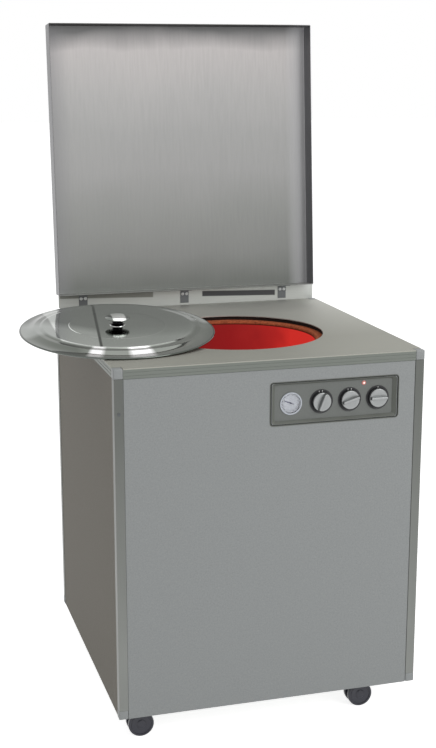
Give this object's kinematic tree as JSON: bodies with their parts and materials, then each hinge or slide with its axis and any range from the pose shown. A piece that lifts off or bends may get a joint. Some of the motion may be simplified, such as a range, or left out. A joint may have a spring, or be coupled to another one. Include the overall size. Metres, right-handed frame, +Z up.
{
  "type": "clay tandoor oven",
  "caption": "Square steel cabinet on castors with a clay pot under a round mouth, a hinged tray lid, a loose round cover and a control panel at the front.",
  "frame": {"origin": "on the floor, under the centre of the cabinet's footprint", "axes": "+X to the right seen from the front, +Y to the back, +Z up"},
  "size_m": [0.8493, 0.7678, 1.5615],
  "materials": {
    "post_steel": "brushed",
    "rail_steel": "brushed",
    "cap_metal": "cast, painted",
    "panel_paint": "hammered grey paint",
    "side_paint": "hammered brown-grey paint",
    "base_steel": "galvanised",
    "dark_screw": "dark screw",
    "worktop_steel": "satin",
    "upstand_steel": "satin",
    "hinge_steel": "satin",
    "pin_steel": "drawn",
    "rest_steel": "turned",
    "clay": "fired clay, rough",
    "floor_tile": "fired clay",
    "cradle_steel": "primed",
    "gasket_fibre": "woven fibre",
    "insulation_fibre": "ceramic fibre blanket",
    "drum_steel": "rolled sheet",
    "element_sheath": "oxidised",
    "ceramic": "fired ceramic",
    "bezel_metal": "satin paint",
    "fascia_metal": "satin paint",
    "gauge_rim": "polished",
    "dial_face": "printed dial",
    "gauge_glass": "clear",
    "needle": "dark blue-grey",
    "lamp_body": "moulded",
    "lamp_lens": "red lens",
    "black_disc": "moulded",
    "device_body": "moulded",
    "copper": "drawn copper",
    "wire_sleeve": "silicone sleeve",
    "gland": "moulded nylon",
    "zinc_plate": "zinc plated",
    "shaft_steel": "turned",
    "knob_metal": "satin",
    "castor_fork": "moulded nylon",
    "castor_wheel": "moulded rubber",
    "lid_steel": "brushed",
    "cover_steel": "mirror polished stainless",
    "cover_knob": "polished stainless",
    "cover_screw": "zinc plated"
  },
  "bodies": {
    "cabinet": {"corner_posts": "post_steel", "top_rails": "rail_steel", "bottom_rails": "rail_steel", "corner_caps": "cap_metal", "front_panel": "panel_paint", "rear_panel": "panel_paint", "right_panel": "panel_paint", "left_panel": "side_paint", "base_plate": "base_steel", "panel_screws": "dark_screw", "worktop": "worktop_steel", "rear_upstand": "upstand_steel", "hinge_fixed_leaves": "hinge_steel", "hinge_pins": "pin_steel", "cover_rest": "rest_steel", "clay_pot": "clay", "pot_floor_tile": "floor_tile", "pot_cradle": "cradle_steel", "mouth_gasket": "gasket_fibre", "insulation": "insulation_fibre", "heater_drum": "drum_steel", "heating_elements": "element_sheath", "element_holders": "ceramic", "control_bezel": "bezel_metal", "control_fascia": "fascia_metal", "gauge_case": "gauge_rim", "gauge_dial": "dial_face", "gauge_glass": "gauge_glass", "pilot_lamp_body": "lamp_body", "pilot_lamp_lens": "lamp_lens", "knob_escutcheons": "black_disc", "thermostat": "device_body", "selector_switches": "device_body", "terminal_block": "device_body", "capillary_tubes": "copper", "wiring_loom": "wire_sleeve", "cable_gland": "gland", "castor_plates": "zinc_plate"},
    "lid": {"lid_tray": "lid_steel", "lid_hinge_leaves": "hinge_steel"},
    "cover": {"cover_pan": "cover_steel", "cover_knob": "cover_knob", "cover_screw": "cover_screw"},
    "thermostat_control": {"thermostat_shaft": "shaft_steel", "thermostat_knob": "knob_metal"},
    "lower_heat_control": {"lower_heat_shaft": "shaft_steel", "lower_heat_knob": "knob_metal"},
    "upper_heat_control": {"upper_heat_shaft": "shaft_steel", "upper_heat_knob": "knob_metal"},
    "gauge_pointer": {"gauge_needle": "needle"},
    "front_left_castor": {"front_left_fork": "castor_fork"},
    "front_left_wheel_pair": {"front_left_wheels": "castor_wheel"},
    "front_right_castor": {"front_right_fork": "castor_fork"},
    "front_right_wheel_pair": {"front_right_wheels": "castor_wheel"},
    "rear_left_castor": {"rear_left_fork": "castor_fork"},
    "rear_left_wheel_pair": {"rear_left_wheels": "castor_wheel"},
    "rear_right_castor": {"rear_right_fork": "castor_fork"},
    "rear_right_wheel_pair": {"rear_right_wheels": "castor_wheel"}
  },
  "joints": [
    {"name": "lid_hinge", "type": "hinge", "parent": "cabinet", "child": "lid", "pos_m": [0, 0.3455, 0.889], "axis": [1, 0, 0], "range_deg": [0, 94.5]},
    {"name": "cover_slide", "type": "slide", "parent": "cabinet", "child": "cover", "axis": [-0.9848, 0, 0.1736], "range_m": [0, 0.45]},
    {"name": "thermostat_turn", "type": "hinge", "parent": "cabinet", "child": "thermostat_control", "pos_m": [0.112, -0.343, 0.748], "axis": [0, 1, 0], "range_deg": [-22, 248]},
    {"name": "lower_heat_turn", "type": "hinge", "parent": "cabinet", "child": "lower_heat_control", "pos_m": [0.178, -0.343, 0.748], "axis": [0, 1, 0], "range_deg": [-73.3, 196.7]},
    {"name": "upper_heat_turn", "type": "hinge", "parent": "cabinet", "child": "upper_heat_control", "pos_m": [0.244, -0.343, 0.748], "axis": [0, 1, 0], "range_deg": [-90, 180]},
    {"name": "gauge_pointer_turn", "type": "hinge", "parent": "cabinet", "child": "gauge_pointer", "pos_m": [0.042, -0.338, 0.748], "axis": [0, 1, 0], "range_deg": [-67, 203]},
    {"name": "front_left_swivel", "type": "hinge", "parent": "cabinet", "child": "front_left_castor", "pos_m": [-0.262, -0.306, 0.07], "axis": [0, 0, 1], "continuous": true},
    {"name": "front_left_roll", "type": "hinge", "parent": "front_left_castor", "child": "front_left_wheel_pair", "pos_m": [-0.295, -0.306, 0.029], "axis": [0, 1, 0], "continuous": true},
    {"name": "front_right_swivel", "type": "hinge", "parent": "cabinet", "child": "front_right_castor", "pos_m": [0.262, -0.306, 0.07], "axis": [0, 0, 1], "continuous": true},
    {"name": "front_right_roll", "type": "hinge", "parent": "front_right_castor", "child": "front_right_wheel_pair", "pos_m": [0.229, -0.306, 0.029], "axis": [0, 1, 0], "continuous": true},
    {"name": "rear_left_swivel", "type": "hinge", "parent": "cabinet", "child": "rear_left_castor", "pos_m": [-0.262, 0.306, 0.07], "axis": [0, 0, 1], "continuous": true},
    {"name": "rear_left_roll", "type": "hinge", "parent": "rear_left_castor", "child": "rear_left_wheel_pair", "pos_m": [-0.295, 0.306, 0.029], "axis": [0, 1, 0], "continuous": true},
    {"name": "rear_right_swivel", "type": "hinge", "parent": "cabinet", "child": "rear_right_castor", "pos_m": [0.262, 0.306, 0.07], "axis": [0, 0, 1], "continuous": true},
    {"name": "rear_right_roll", "type": "hinge", "parent": "rear_right_castor", "child": "rear_right_wheel_pair", "pos_m": [0.229, 0.306, 0.029], "axis": [0, 1, 0], "continuous": true}
  ],
  "couplings": [
    {"joint": "cover_slide", "follows": "lid_hinge", "m_per_rad": 0.272}
  ]
}
